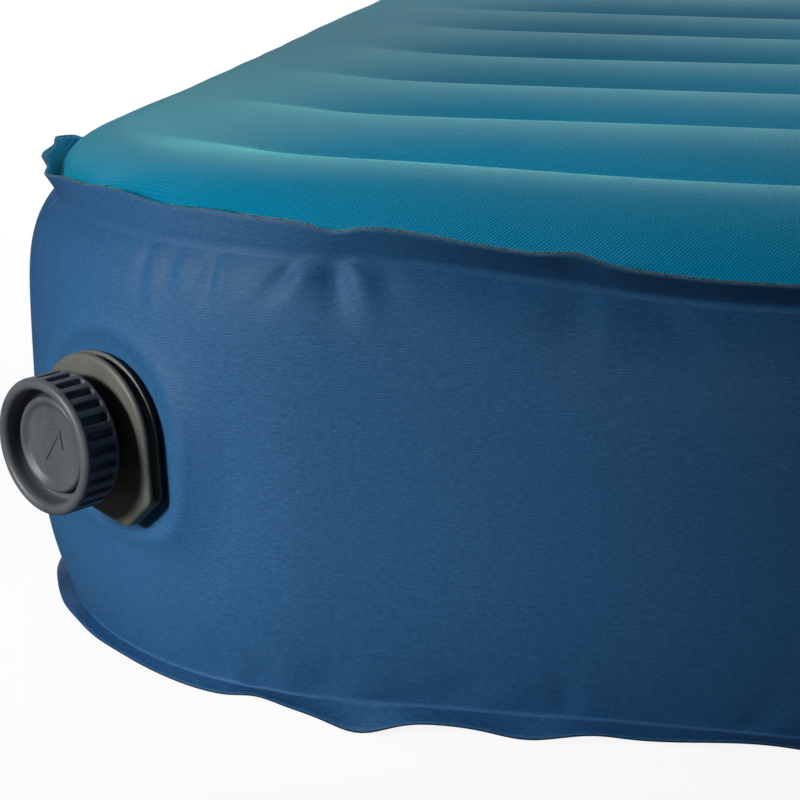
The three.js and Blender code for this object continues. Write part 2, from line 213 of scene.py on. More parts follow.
# Waves of the flanges near the front corner: (place along TURN, height, width).
TOP_BUMPS = [
    (66, -1.5, 5), (93, -0.3, 9), (111, 1.3, 5), (40, 0.6, 9), (12, 1.2, 9), (-22, -1.2, 8),
    (-52, 1.0, 9), (-70, -1.2, 5),
]
BOTTOM_BUMPS = [
    (10, 0.4, 10), (33, -0.2, 8), (50, 1.4, 6), (71, -3.4, 8), (104, -1.6, 8), (118, 0.5, 6),
    (150, 1.8, 16), (-10, 0.6, 8), (-34, 1.2, 8), (-66, -1.4, 12), (-104, 1.2, 14),
]
END_CALM = 0.6  # how much lower the top waves are along the short ends
TOP_WAVE = around(TOP_BUMPS, spacing=34, height=1.6, width=12, seed=SEED, quiet_from=-84.0)
TOP_WAVE = TOP_WAVE * (1 - END_CALM * ENDNESS * smooth(70, 90, AWAY))
BOTTOM_WAVE = around(
    BOTTOM_BUMPS, spacing=38, height=1.8, width=13, seed=SEED + 1, quiet_from=-150.0)

# The seams are not level: the top one sinks between the corners, and lies further in
# along the long sides than at the corners and the short ends.
SIDE_SEAM_DROP = 7.3
END_SEAM_DROP = 1.4
SIDE_SEAM_IN = 4.5
CORNER_SEAM_OUT = 4.2  # at the short ends too
BOTTOM_SEAM_LIFT = 0.2
BOTTOM_CORNER_OUT = 2.2
SIDE_DROP_SHAPE = smooth(64, 142, AWAY) * (1 - ENDNESS)
CORNER_SHAPE = 1 - SIDENESS * (1 - ENDNESS ** 2)
TOP_SEAM_Z = TOP_SEAM - SIDE_SEAM_DROP * SIDE_DROP_SHAPE - END_SEAM_DROP * SIDENESS * ENDNESS
TOP_SEAM_INSET = FLANGE + SIDE_SEAM_IN * SIDENESS * (1 - ENDNESS) - CORNER_SEAM_OUT * CORNER_SHAPE
BOTTOM_SEAM_Z = BOTTOM_SEAM + BOTTOM_SEAM_LIFT * SIDENESS
BOTTOM_SEAM_INSET = BOTTOM_FLANGE - BOTTOM_CORNER_OUT * (1 - SIDENESS)


# ---- Mesh helpers ----
def piece(name, points, faces, body, look, replaced=(), smooth_shade=True):
    """A visible piece from points in millimetres, riding on a body."""
    mesh = bpy.data.meshes.new(name)
    mesh.from_pydata((np.asarray(points) * MM).tolist(), [], faces)
    mesh.validate()
    mesh.update()
    made = add_object(name, mesh)
    if smooth_shade:
        mesh.shade_smooth()
    else:
        mesh.shade_flat()
    mesh.materials.append(look)
    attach(made, body)
    if replaced:
        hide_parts(*replaced)
    return made


def loop_points(inset, height):
    """Points of one ring all round, from insets and heights that may vary along it."""
    flat = BASE + NORMAL * (CORNER - np.broadcast_to(inset, COUNT))[:, None]
    return np.column_stack([flat, np.broadcast_to(height, COUNT)])


def ring_faces(rings, is_loop, start=0, count=COUNT):
    """Quads between rings of points; they face out when the rings go up the outside."""
    step = np.arange(count)
    after = (step + 1) % count
    faces = []
    for band in range(rings if is_loop else rings - 1):
        low = start + band * count
        high = start + ((band + 1) % rings) * count
        faces.append(np.column_stack([low + step, low + after, high + after, high + step]))
    return np.concatenate(faces).tolist()


def end_faces(rings, count):
    """Flat faces that close the first and the last ring."""
    return [list(range(count))[::-1], [(rings - 1) * count + i for i in range(count)]]


# ---- Puckers of the wall ----
FOLD_END = 2.6  # in reaches, where a pucker has died away
FOLD_ONSET = 3.5  # from the seam to where a pucker has its full depth
FIRST_SEEDED_FOLD = 112.0
LAST_SEEDED_FOLD = 60.0  # short of the whole way round


def fold_profile(x):
    """A groove with a raised lip beside it."""
    return -np.exp(-(x ** 2)) + 0.65 * np.exp(-((x - 1.7) ** 2))


def wall_folds():
    """(place, depth, width, reach from the seam, slant, from the top seam?) for each pucker."""
    folds = [
        (-30, 1.2, 1.7, 9, 0.30, True), (-22, 1.2, 1.6, 11, 0.35, True),
        (-12, 0.4, 2.0, 8, 0.2, True), (24, 1.1, 1.2, 9, 0.0, True),
        (31, 0.8, 1.3, 8, 0.0, True), (41, 1.2, 1.2, 9, -0.05, True),
        (59, 1.5, 1.5, 6, -0.7, True), (66, 2.3, 2.1, 8, 0.16, True),
        (76, 0.45, 1.6, 5, 0.1, True), (96, 0.3, 2.4, 6, 0.0, True),
        (10, 0.4, 2.2, 8, 0.1, False), (20, 0.4, 2.0, 7, -0.3, False),
        (42, 1.0, 2.2, 9, -0.5, False), (52, 0.8, 2.6, 8, -0.6, False),
        (66, 1.0, 4.0, 9, -0.5, False), (90, 0.6, 4.0, 8, 0.2, False),
    ]
    random = np.random.default_rng(SEED + 2)
    for from_top in (True, False):
        place = FIRST_SEEDED_FOLD
        while place < PERIMETER - LAST_SEEDED_FOLD:
            folds.append((
                place, random.uniform(0.2, 0.9), random.uniform(1.6, 3.2), random.uniform(5, 11),
                random.uniform(-0.5, 0.5), from_top))
            place += random.uniform(12, 46)
    return folds


FOLDS = wall_folds()


def fold_depth(below_top, above_bottom):
    """How far the folds push a ring of the wall outwards."""
    total = np.zeros(COUNT)
    for place, depth, width, reach, slant, from_top in FOLDS:
        down = below_top if from_top else above_bottom
        if down > FOLD_END * reach:
            continue
        away = wrapped(TURN - place - slant * down)
        strength = math.exp(-((down / reach) ** 2)) * min(down / FOLD_ONSET, 1.0)
        total += depth * strength * fold_profile(away / (width * (1 + 0.5 * down / reach)))
    return total


# ---- The wall is pressed flat where a valve sits on it ----
TIP_SPREAD = 0.42  # radians either side of the plate's point
PRESSED_SWING = 0.75  # radians round the corner that the plate may press
PRESSED_CLEAR = 0.05  # how far the flat lies outside the valve's own plane
FLAT_TO, ROUND_FROM = 1.5, 15  # past the plate's edge
HALO_HEIGHT, HALO_PLACE, HALO_WIDTH = 0.9, 4.6, 2.0  # the raised ring of cloth round the plate


def tip_swing(across, up, side):
    """Angle of a point in the valve's plane, measured from the plate's point."""
    turn = math.atan2(-math.cos(PLATE_TURN), -side * math.sin(PLATE_TURN))
    return (np.arctan2(up, across) - turn + math.pi) % (2 * math.pi) - math.pi


def plate_edge_gap(across, up, side):
    """Distance of a point in the valve's plane beyond the plate's outline."""
    tip_past_circle = math.hypot(PLATE_TIP, PLATE_TIP_HALF) - PLATE_RADIUS
    closeness = np.exp(-((tip_swing(across, up, side) / TIP_SPREAD) ** 2))
    return np.hypot(across, up) - (PLATE_RADIUS + tip_past_circle * closeness)


def pressed_flat(radial, height):
    """The wall's distance from the corner's centre, flat under each plate and raised round it."""
    skew = VALVE_PLACE - VALVE_FACING
    for side in (-1, 1):
        facing = 1.5 * math.pi - VALVE_FACING if side < 0 else 0.5 * math.pi + VALVE_FACING
        swing = ANGLE - facing
        near = np.abs(swing) < PRESSED_SWING
        swing = np.where(near, swing, 0)
        plane = (VALVE_REACH * math.cos(skew) + PRESSED_CLEAR) / np.cos(swing)
        across = plane * np.sin(swing) - side * VALVE_REACH * math.sin(skew)
        gap = plate_edge_gap(across, height - VALVE_HEIGHT, side)
        weight = np.where(near, 1 - smooth(FLAT_TO, ROUND_FROM, gap), 0)
        halo = np.where(near, HALO_HEIGHT * np.exp(-(((gap - HALO_PLACE) / HALO_WIDTH) ** 2)), 0)
        radial = radial * (1 - weight) + plane * weight + halo
    return radial


LOWER_SWELL = 3.4  # powers of the wall's section: the higher, the squarer
UPPER_CORNER_SWELL = 6.4
UPPER_SIDE_SWELL = 3.8


def wall_ring(part, offset):
    """One ring of the wall; part runs from 0 at the bottom seam to 1 at the top seam."""
    low, high = BOTTOM_SEAM_Z + PLY, TOP_SEAM_Z - PLY
    height = low + part * (high - low)
    away = abs(2 * part - 1)
    if part < 0.5:
        power = LOWER_SWELL
    else:
        power = UPPER_CORNER_SWELL - (UPPER_CORNER_SWELL - UPPER_SIDE_SWELL) * SIDENESS
    swell = 1 - away ** power
    span = TOP_SEAM - BOTTOM_SEAM
    inset = BOTTOM_SEAM_INSET + (TOP_SEAM_INSET - BOTTOM_SEAM_INSET) * part
    radial = CORNER - inset + (BULGE + END_BULGE * ENDNESS ** 1.5 + inset - FLANGE) * swell
    radial = radial + fold_depth((1 - part) * span, part * span)
    radial = pressed_flat(radial, height)
    return loop_points(CORNER - radial + offset, height)


# ---- Flanges: part runs from 0 at the seam to 1 at the cut edge ----
CRIMP_DEPTH = 0.7  # sideways waves of the crimped start of each short end
CRIMP_PITCH = 17.0
CORNER_TIP_IN = 1.0  # the edge leans in at the corners and out where it is crimped
EAR_TIP_OUT = 1.8
TOP_WAVER = 0.9
BOTTOM_WAVER = 0.7
END_TIP_DROP = 0.8
RISE_POWER = 0.85  # below 1, the flange curls up from its seam
LOWEST_EDGE = 0.7
FLANGE_ROWS = 6
WALL_ROWS = 72
WALL_BACK_ROWS = 10


def top_flange_line(part):
    """Inset and height of the weld line of the top flange."""
    crimp = EAR * CRIMP_DEPTH * np.sin(2 * math.pi * TURN / CRIMP_PITCH)
    lean = CORNER_TIP_IN * (1 - SIDENESS) - EAR_TIP_OUT * EAR
    waver = TOP_WAVER * np.sin(TURN / 17.0) * (1 - 0.5 * ENDNESS)
    tip_in = TOP_TIP_INSET - TOP_SEAM_INSET + waver + crimp + lean
    rise = TOP_TIP_RISE - END_TIP_DROP * ENDNESS ** 2 * smooth(60, 80, AWAY)
    height = TOP_SEAM_Z + rise * part ** RISE_POWER + TOP_WAVE * part
    return TOP_SEAM_INSET + tip_in * part, height


def bottom_flange_line(part):
    """Inset and height of the weld line of the bottom flange."""
    tip_in = BOTTOM_TIP_INSET - BOTTOM_SEAM_INSET + BOTTOM_WAVER * np.sin(TURN / 21.0 + 1)
    height = BOTTOM_SEAM_Z - BOTTOM_TIP_DROP * part + BOTTOM_WAVE * part
    return BOTTOM_SEAM_INSET + tip_in * part, np.maximum(height, LOWEST_EDGE)


def flange_rings(line, first, last, lift, out=0.0):
    """Rings from one row of a flange to another, lifted off its weld line."""
    way = 1 if last >= first else -1
    rings = []
    for row in range(first, last + way, way):
        inset, height = line(row / FLANGE_ROWS)
        rings.append(loop_points(inset - out, height + lift))
    return rings


def side_shell():
    """Points and faces of the wall with its flange plies, and how many rings face outwards."""
    rings = flange_rings(bottom_flange_line, FLANGE_ROWS, 1, PLY)
    for step in range(WALL_ROWS + 1):
        part = step / WALL_ROWS
        # Rows lie closer together at the seams and at half height.
        rings.append(wall_ring(part - 0.0275 * math.sin(4 * math.pi * part), 0))
    rings += flange_rings(top_flange_line, 1, FLANGE_ROWS, -PLY, EDGE_SLANT)
    outer = len(rings)
    rings += flange_rings(top_flange_line, FLANGE_ROWS, 1, -WELD_GAP)
    for step in range(WALL_BACK_ROWS, -1, -1):
        rings.append(wall_ring(step / WALL_BACK_ROWS, WALL_BACK))
    rings += flange_rings(bottom_flange_line, 1, FLANGE_ROWS, WELD_GAP)
    return np.concatenate(rings), ring_faces(len(rings), True), outer


# ---- The top ----
ROUNDING_POWER = 0.55
COSINE_SHARE = 0.3  # of the ridges' section; the rest is a broader crest with sharper furrows
CREST_POWER = 3.0
END_SWELL = 0.98  # height of the level stretch along each short end, as a part of a ridge
UNEVENNESS = 0.6
RING_ROWS = 60
UNDER_FIRST_ROW = 12
UNDER_ROW_STEP = 4
SEAM_REACH = 60  # inset at which the sinking of the seam no longer shows
PUCKER_LIFT = 0.35
PUCKER_REACH = 6


def edge_distance(x, y):
    """Distance of points from the outline, inwards."""
    past_x = np.abs(x) - INNER_X
    past_y = np.abs(y) - INNER_Y
    corner = np.hypot(np.maximum(past_x, 0), np.maximum(past_y, 0))
    return CORNER - np.where((past_x > 0) & (past_y > 0), corner, np.maximum(past_x, past_y))


def top_relief(x, y, seam_inset=FLANGE, rise_length=RISE_LENGTH):
    """Height over the seam of the padded top, inside the seam."""
    inside = np.clip((edge_distance(x, y) - seam_inset) / rise_length, 0, 1)
    rounded = (1 - (1 - inside) ** 2) ** ROUNDING_POWER
    fade = smooth(RIDGES_FROM, RIDGES_FULL, HALF_LENGTH - np.abs(x))
    from_crest = (y + HALF_WIDTH - FIRST_CREST) / RIDGE_PITCH
    from_crest = 2 * np.abs(from_crest - np.round(from_crest))
    cosine = 0.5 + 0.5 * np.cos(math.pi * from_crest)
    ridge = COSINE_SHARE * cosine + (1 - COSINE_SHARE) * (1 - from_crest ** CREST_POWER)
    uneven = 0.35 * np.sin(x / 61.0 + y / 23.0) + 0.25 * np.sin(x / 37.0 - y / 41.0)
    swell = fade * ridge + (1 - fade) * END_SWELL
    return rounded * (FURROW_RISE + RIDGE_HEIGHT * swell + uneven * UNEVENNESS)


def top_ring(part, lower):
    """A ring of the padded top; part runs from 0 at the seam to 1 where it meets the grid."""
    inset = TOP_SEAM_INSET + part * (CORNER - TOP_SEAM_INSET)
    flat = loop_points(inset, 0.0)
    settle = 1 - smooth(FLANGE, SEAM_REACH, inset)
    seam = TOP_SEAM + (TOP_SEAM_Z - TOP_SEAM) * settle
    beyond = inset - TOP_SEAM_INSET
    rise_length = RISE_LENGTH + (END_RISE_LENGTH - RISE_LENGTH) * ENDNESS
    pucker = PUCKER_LIFT * (1 + np.sin(TURN / 5.3 + 2 * np.sin(TURN / 31)))
    pucker *= np.exp(-((beyond / PUCKER_REACH) ** 2)) * np.minimum(beyond, 1)
    relief = top_relief(flat[:, 0], flat[:, 1], TOP_SEAM_INSET, rise_length)
    flat[:, 2] = seam + relief + pucker - lower
    return flat


def top_shell():
    """Rings of the upper face and of the under face, and how many there are of each."""
    upper = flange_rings(top_flange_line, FLANGE_ROWS, 1, WELD_GAP + PLY)
    for step in range(RING_ROWS + 1):
        upper.append(top_ring((step / RING_ROWS) ** 2, -WELD_GAP - PLY))
    under = flange_rings(top_flange_line, FLANGE_ROWS, 0, WELD_GAP)
    for step in range(UNDER_FIRST_ROW, RING_ROWS + 1, UNDER_ROW_STEP):
        under.append(top_ring((step / RING_ROWS) ** 2, TOP_BACK))
    return np.concatenate(upper), np.concatenate(under), len(upper), len(under)


def grid_over(height):
    """A grid over the inner rectangle; its rim is the innermost ring's straight parts."""
    grid_x, grid_y = np.meshgrid(SIDE_X, SIDE_Y, indexing="ij")
    points = np.column_stack([grid_x.ravel(), grid_y.ravel(), height(grid_x, grid_y).ravel()])
    wide = len(SIDE_Y)
    corner = (np.arange(len(SIDE_X) - 1)[:, None] * wide + np.arange(wide - 1)[None, :]).ravel()
    return points, np.column_stack([corner, corner + wide, corner + wide + 1, corner + 1]).tolist()


def build_top():
    """Points and faces of the top, and which of the faces are its trimmed edge."""
    upper, under, upper_rings, under_rings = top_shell()
    faces = ring_faces(upper_rings, False)
    start = len(upper)
    faces += [face[::-1] for face in ring_faces(under_rings, False, start)]
    step = np.arange(COUNT)
    after = (step + 1) % COUNT
    first_rim = len(faces)
    faces += np.column_stack([start + step, start + after, after, step]).tolist()
    centre, centre_faces = grid_over(
        lambda x, y: TOP_SEAM + WELD_GAP + PLY + top_relief(x, y))
    offset = start + len(under)
    faces += [[offset + i for i in face] for face in centre_faces]
    back, back_faces = grid_over(lambda x, y: TOP_SEAM - TOP_BACK + top_relief(x, y))
    offset += len(centre)
    faces += [[offset + i for i in face][::-1] for face in back_faces]
    points = np.concatenate([upper, under, centre, back])
    return points, faces, (first_rim, first_rim + COUNT)


JOIN_DISTANCE = 0.02
SLIVER = 0.001


def weld(made):
    """Joins coincident points, where rings shrink to a corner or meet a grid."""
    mesh = bmesh.new()
    mesh.from_mesh(made.data)
    bmesh.ops.remove_doubles(mesh, verts=mesh.verts, dist=JOIN_DISTANCE * MM)
    bmesh.ops.dissolve_degenerate(mesh, edges=mesh.edges, dist=SLIVER * MM)
    mesh.to_mesh(made.data)
    mesh.free()
    made.data.update()


# ---- Materials; pitches and bump distances are in metres, noise scales per metre ----
TWILL_TURN = math.radians(38)
TWILL_PITCH = 0.00056
CROSS_PITCH = 0.00050
RIB_PITCH = 0.00052
TIE_PITCH = 0.0008


def new_material(name):
    """A material with a Principled shader on its surface, its node tree and the shader."""
    made = bpy.data.materials.new(name)
    made.use_nodes = True
    tree = made.node_tree
    tree.nodes.clear()
    output = tree.nodes.new("ShaderNodeOutputMaterial")
    shader = tree.nodes.new("ShaderNodeBsdfPrincipled")
    tree.links.new(shader.outputs[0], output.inputs["Surface"])
    return made, tree, shader


def node(tree, kind, inputs=None, **settings):
    """A node with its settings; inputs are values or other nodes' outputs."""
    made = tree.nodes.new(kind)
    for name, value in settings.items():
        setattr(made, name, value)
    for name, value in (inputs or {}).items():
        if isinstance(value, bpy.types.NodeSocket):
            tree.links.new(value, made.inputs[name])
        else:
            made.inputs[name].default_value = value
    return made


def object_place(tree, scale=(1, 1, 1), turn=0.0):
    """Object coordinates in metres, turned about Z and scaled."""
    place = node(tree, "ShaderNodeTexCoord").outputs["Object"]
    inputs = {"Vector": place, "Rotation": (0, 0, turn), "Scale": scale}
    return node(tree, "ShaderNodeMapping", inputs).outputs[0]


def waves(tree, place, pitch, axis, wobble):
    """Even bands of a given pitch in metres along one axis of the coordinates."""
    inputs = {"Vector": place, "Scale": math.pi / (10 * pitch), "Distortion": wobble,
              "Detail": 1.0, "Detail Scale": 0.3}
    made = node(tree, "ShaderNodeTexWave", inputs, wave_type="BANDS", bands_direction=axis)
    return made.outputs["Fac"]


def noise(tree, place, scale, detail=2.0):
    """Cloudy grain; a bigger scale makes it finer."""
    inputs = {"Vector": place, "Scale": scale, "Detail": detail}
    return node(tree, "ShaderNodeTexNoise", inputs).outputs["Fac"]


def maths(tree, operation, first, second):
    """One sum, product or difference of numbers or outputs."""
    return node(tree, "ShaderNodeMath", {0: first, 1: second}, operation=operation).outputs[0]


def ramp(tree, factor, stops):
    """A colour ramp from (place, colour) stops."""
    made = node(tree, "ShaderNodeValToRGB", {"Fac": factor})
    elements = made.color_ramp.elements
    while len(elements) < len(stops):
        elements.new(0.5)
    for element, (place, color) in zip(elements, stops):
        element.position = place
        element.color = (*color, 1)
    return made.outputs[0]


def bump(tree, shader, height, distance):
    """Fine relief of the surface, up to a distance in metres."""
    made = node(tree, "ShaderNodeBump", {"Height": height, "Distance": distance, "Strength": 1.0})
    tree.links.new(made.outputs[0], shader.inputs["Normal"])


def set_shader(tree, shader, color, settings):
    """Links the colour and sets the shader's other inputs."""
    tree.links.new(color, shader.inputs["Base Color"])
    for name, value in settings.items():
        shader.inputs[name].default_value = value


def srgb(red, green, blue):
    """Linear colour from 0 to 255 display values."""
    def linear(value):
        value /= 255
        return value / 12.92 if value <= 0.04045 else ((value + 0.055) / 1.055) ** 2.4
    return linear(red), linear(green), linear(blue)


def knit_fabric():
    """Fine diagonal knit of the top, with a soft sheen and small pale specks of painted glint."""
    made, tree, shader = new_material("top_knit")
    place = object_place(tree)
    twill = waves(tree, object_place(tree, turn=TWILL_TURN), TWILL_PITCH, "X", 1.2)
    cross = waves(tree, object_place(tree), CROSS_PITCH, "X", 1.0)
    weave = maths(tree, "ADD", twill, maths(tree, "MULTIPLY", cross, 0.45))
    weave = maths(tree, "MULTIPLY", weave, 0.7)
    grain = noise(tree, place, 2600.0)
    # The knit's own weave, plus fine grain that lightens the colour in small pale specks: painted
    # glints of light on the fibres.
    weave_and_glints = maths(tree, "MULTIPLY", weave, 0.7)
    weave_and_glints = maths(tree, "ADD", weave_and_glints, maths(tree, "MULTIPLY", grain, 0.45))
    drift = noise(tree, place, 14.0)
    mixed = maths(tree, "ADD", weave_and_glints, maths(tree, "MULTIPLY", drift, 0.16))
    color = ramp(tree, mixed, [
        (0.30, srgb(0, 114, 162)), (0.62, srgb(0, 142, 192)), (0.90, srgb(8, 178, 216))])
    set_shader(tree, shader, color, {
        "Roughness": 0.4, "Sheen Weight": 0.8, "Sheen Roughness": 0.25,
        "Sheen Tint": (0.2, 1.0, 0.82, 1), "Specular IOR Level": 0.04})
    bump(tree, shader, weave_and_glints, 0.00016)
    return made


def ribbed_fabric(name, dark, middle, light):
    """Coated fabric with fine level ribs, which fade where the surface isn't upright."""
    made, tree, shader = new_material(name)
    ribs = waves(tree, object_place(tree), RIB_PITCH, "Z", 0.8)
    yarn = noise(tree, object_place(tree, scale=(0.35, 0.35, 1.6)), 2400.0)
    grain = noise(tree, object_place(tree), 3600.0)
    normal = node(tree, "ShaderNodeTexCoord").outputs["Normal"]
    tilt = node(tree, "ShaderNodeSeparateXYZ", {0: normal}).outputs[2]
    upright = maths(tree, "SUBTRACT", 1.0, maths(tree, "MULTIPLY", tilt, tilt))
    ribs = maths(tree, "MULTIPLY", maths(tree, "MULTIPLY", ribs, upright), 0.10)
    weave = maths(tree, "ADD", ribs, maths(tree, "MULTIPLY", yarn, 0.5))
    weave = maths(tree, "ADD", weave, maths(tree, "MULTIPLY", grain, 0.34))
    drift = noise(tree, object_place(tree), 9.0)
    mixed = maths(tree, "ADD", weave, maths(tree, "MULTIPLY", drift, 0.12))
    color = ramp(tree, mixed, [(0.3, dark), (0.56, middle), (0.82, light)])
    set_shader(tree, shader, color, {
        "Roughness": 0.58, "Sheen Weight": 0.07, "Sheen Roughness": 0.35,
        "Sheen Tint": (*srgb(170, 200, 230), 1), "Specular IOR Level": 0.28})
    bump(tree, shader, weave, 0.00008)
    return made


def cut_edge():
    """Where the welded plies were trimmed: a thin grey line of film and yarn."""
    made, tree, shader = new_material("cut_edge")
    grain = noise(tree, object_place(tree), 1800.0)
    color = ramp(tree, grain, [(0.35, srgb(70, 92, 98)), (0.65, srgb(128, 146, 146))])
    set_shader(tree, shader, color, {"Roughness": 0.6})
    bump(tree, shader, grain, 0.00008)
    return made


def moulded_plastic(name, dark, light, roughness):
    """Satin moulded plastic with a fine spark-eroded grain and faint handling marks."""
    made, tree, shader = new_material(name)
    grain = noise(tree, object_place(tree), 1500.0, 3.0)
    marks = noise(tree, object_place(tree, scale=(1, 1, 0.3)), 160.0, 4.0)
    mixed = maths(tree, "MULTIPLY", marks, 0.7)
    mixed = maths(tree, "ADD", mixed, maths(tree, "MULTIPLY", grain, 0.3))
    color = ramp(tree, mixed, [(0.35, dark), (0.7, light)])
    rough = ramp(tree, marks, [(0.3, (roughness - 0.06,) * 3), (0.7, (roughness + 0.08,) * 3)])
    tree.links.new(rough, shader.inputs["Roughness"])
    set_shader(tree, shader, color, {"Specular IOR Level": 0.5})
    bump(tree, shader, grain, 0.00003)
    return made


def rubber_material():
    """Matt black rubber of the seals and the check flaps."""
    made, tree, shader = new_material("seal_rubber")
    grain = noise(tree, object_place(tree), 1200.0)
    color = ramp(tree, grain, [(0.3, srgb(16, 16, 17)), (0.7, srgb(34, 34, 35))])
    set_shader(tree, shader, color, {"Roughness": 0.75})
    bump(tree, shader, grain, 0.00003)
    return made


def foam_material():
    """Open-cell foam: cream, with painted shade in its small pores."""
    made, tree, shader = new_material("open_cell_foam")
    cells = node(tree, "ShaderNodeTexVoronoi", {"Vector": object_place(tree), "Scale": 900.0})
    pore_depth_and_shade = cells.outputs["Distance"]
    # Darker towards each cell's middle: painted shade inside the pores. The same pattern also sets
    # their depth.
    color = ramp(tree, pore_depth_and_shade, [(0.15, srgb(150, 138, 104)), (0.6, srgb(226, 214, 178))])
    set_shader(tree, shader, color, {"Roughness": 0.95})
    bump(tree, shader, pore_depth_and_shade, 0.0004)
    return made


def plain_weave():
    """Off-white tie fabric: warp and weft."""
    made, tree, shader = new_material("tie_weave")
    warp = waves(tree, object_place(tree), TIE_PITCH, "X", 0.3)
    weft = waves(tree, object_place(tree), TIE_PITCH, "Z", 0.3)
    weave = maths(tree, "MULTIPLY", warp, weft)
    color = ramp(tree, weave, [(0.1, srgb(150, 154, 156)), (0.7, srgb(214, 217, 218))])
    set_shader(tree, shader, color, {"Roughness": 0.85})
    bump(tree, shader, weave, 0.0001)
    return made


TOP_LOOK = knit_fabric()
WALL_LOOK = ribbed_fabric(
    "wall_rib", srgb(33, 80, 123), srgb(48, 103, 151), srgb(72, 126, 175))
BASE_LOOK = ribbed_fabric("base_rib", srgb(10, 26, 52), srgb(18, 42, 76), srgb(34, 62, 98))
EDGE_LOOK = cut_edge()
PLATE_LOOK = moulded_plastic("plate_plastic", srgb(90, 92, 85), srgb(114, 116, 108), 0.46)
CAP_LOOK = moulded_plastic("cap_plastic", srgb(82, 86, 90), srgb(104, 109, 114), 0.44)
INNER_LOOK = moulded_plastic("inner_plastic", srgb(28, 30, 32), srgb(42, 44, 46), 0.5)
RUBBER_LOOK = rubber_material()
FOAM_LOOK = foam_material()
TIE_LOOK = plain_weave()


# ---- The fabric shell ----
def paint_faces(made, look, first, last):
    """Gives a run of faces a second material."""
    made.data.materials.append(look)
    index = len(made.data.materials) - 1
    for face in made.data.polygons[first:last]:
        face.material_index = index


def make_side():
    """The wall, with the plies of both flanges that belong to it."""
    points, faces, outer = side_shell()
    made = piece("side_wall", points, faces, "mattress", WALL_LOOK, ["side_band"])
    paint_faces(made, EDGE_LOOK, (outer - 1) * COUNT, outer * COUNT)


def make_top():
    """The ridged top, with its ply of the top flange."""
    points, faces, rim = build_top()
    made = piece("ridged_top", points, faces, "mattress", TOP_LOOK, ["top_sheet"])
    paint_faces(made, EDGE_LOOK, *rim)
    weld(made)


RESTING_INSETS = (CORNER, 40, 30, 24)  # of the rings that lie on the floor
UNDER_RISE = ((18, 0.35), (13, 1.4), (10, 2.9))  # (inset, height) from there to the flange
UNDER_LIFT = 0.6  # how much of the seam's own rise those rings follow


def make_bottom():
    """The underside: flat where it rests, rising to its flange."""
    lift = (BOTTOM_SEAM_Z - BOTTOM_SEAM) * UNDER_LIFT
    rings = [loop_points(inset, 0.0) for inset in RESTING_INSETS]
    rings += [loop_points(inset, height + lift) for inset, height in UNDER_RISE]
    rings += flange_rings(bottom_flange_line, 0, FLANGE_ROWS, -PLY - WELD_GAP)
    rings += flange_rings(bottom_flange_line, FLANGE_ROWS, 0, -WELD_GAP)
    rings += [loop_points(inset, height + PLY + lift) for inset, height in reversed(UNDER_RISE)]
    rings += [loop_points(inset, PLY) for inset in reversed(RESTING_INSETS)]
    points = [np.concatenate(rings)]
    faces = ring_faces(len(rings), False)
    offset = len(points[0])
    for level, order in ((0.0, -1), (PLY, 1)):
        grid, quads = grid_over(lambda x, y: np.full(x.shape, level))
        faces += [[offset + i for i in quad[::order]] for quad in quads]
        points.append(grid)
        offset += len(grid)
    made = piece("underside", np.concatenate(points), faces, "mattress", BASE_LOOK,
                 ["bottom_sheet"])
    weld(made)


# ---- The core ----
CORE_INSET = 13.5
CORE_KEEP = 9  # the foam's outline takes one sample in this many
CORE_TOP_GAP = 2.0
TIE_COLUMNS = 80
TIE_ROWS = 9
TIE_THICKNESS = 0.5
TIE_BOW = 1.1


def core_layer(name, section, replaced):
    """A foam layer on a coarse outline, through a section of (further in, height)."""
    keep = np.unique(np.concatenate([np.arange(0, COUNT, CORE_KEEP), [COUNT - 1]]))
    count = len(keep)
    points = []
    for further_in, height in section:
        flat = BASE[keep] + NORMAL[keep] * (CORNER - CORE_INSET - further_in)
        points.append(np.column_stack([flat, np.full(count, height)]))
    faces = ring_faces(len(section), False, count=count) + end_faces(len(section), count)
    made = piece(name, np.concatenate(points), faces, "mattress", FOAM_LOOK, [replaced])


def make_core():
    """The two foam layers, at the heights of their CAD nodes; the upper one is rounder."""
    low, high = [corner.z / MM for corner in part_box("foam_layer_lower")]
    section = [(20, low), (8, low + 1.5), (0, low + 6), (0, high - 3), (3, high)]
    core_layer("foam_lower", section, "foam_layer_lower")
    low, high = [corner.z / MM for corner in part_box("foam_layer_upper")]
    high -= CORE_TOP_GAP
    section = [(3, low), (0, low + 3), (0, high - 12), (4, high - 7), (14, high - 2), (26, high)]
    core_layer("foam_upper", section, "foam_layer_upper")


def make_ties():
    """Lengthwise ties between the foam layers, slightly bowed by the air beside them."""
    for number in range(1, RIDGES):
        node_name = f"tie_strip_{number:02d}"
        low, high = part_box(node_name)
        middle = (low.y + high.y) / 2 / MM
        xs = np.linspace(low.x, high.x, TIE_COLUMNS) / MM
        points, faces = [], []
        for sign in (-1, 1):
            for part in np.linspace(0, 1, TIE_ROWS):
                bow = TIE_BOW * math.sin(math.pi * part) * np.sin(xs / 47.0 + number)
                height = low.z / MM + part * (high.z - low.z) / MM
                ys = middle + bow + sign * TIE_THICKNESS / 2
                points.append(np.column_stack([xs, ys, np.full(TIE_COLUMNS, height)]))
        rows = list(range(TIE_ROWS)) + list(range(2 * TIE_ROWS - 1, TIE_ROWS - 1, -1))
        starts = [row * TIE_COLUMNS for row in rows]
        for first, second in zip(starts, starts[1:] + starts[:1]):
            for i in range(TIE_COLUMNS - 1):
                faces.append((first + i, first + i + 1, second + i + 1, second + i))
        faces.append(tuple(starts))
        faces.append(tuple(start + TIE_COLUMNS - 1 for start in reversed(starts)))
        piece(f"tie_{number:02d}", np.concatenate(points), faces, "mattress", TIE_LOOK,
              [node_name])


make_side()
make_top()
make_bottom()
make_core()
make_ties()


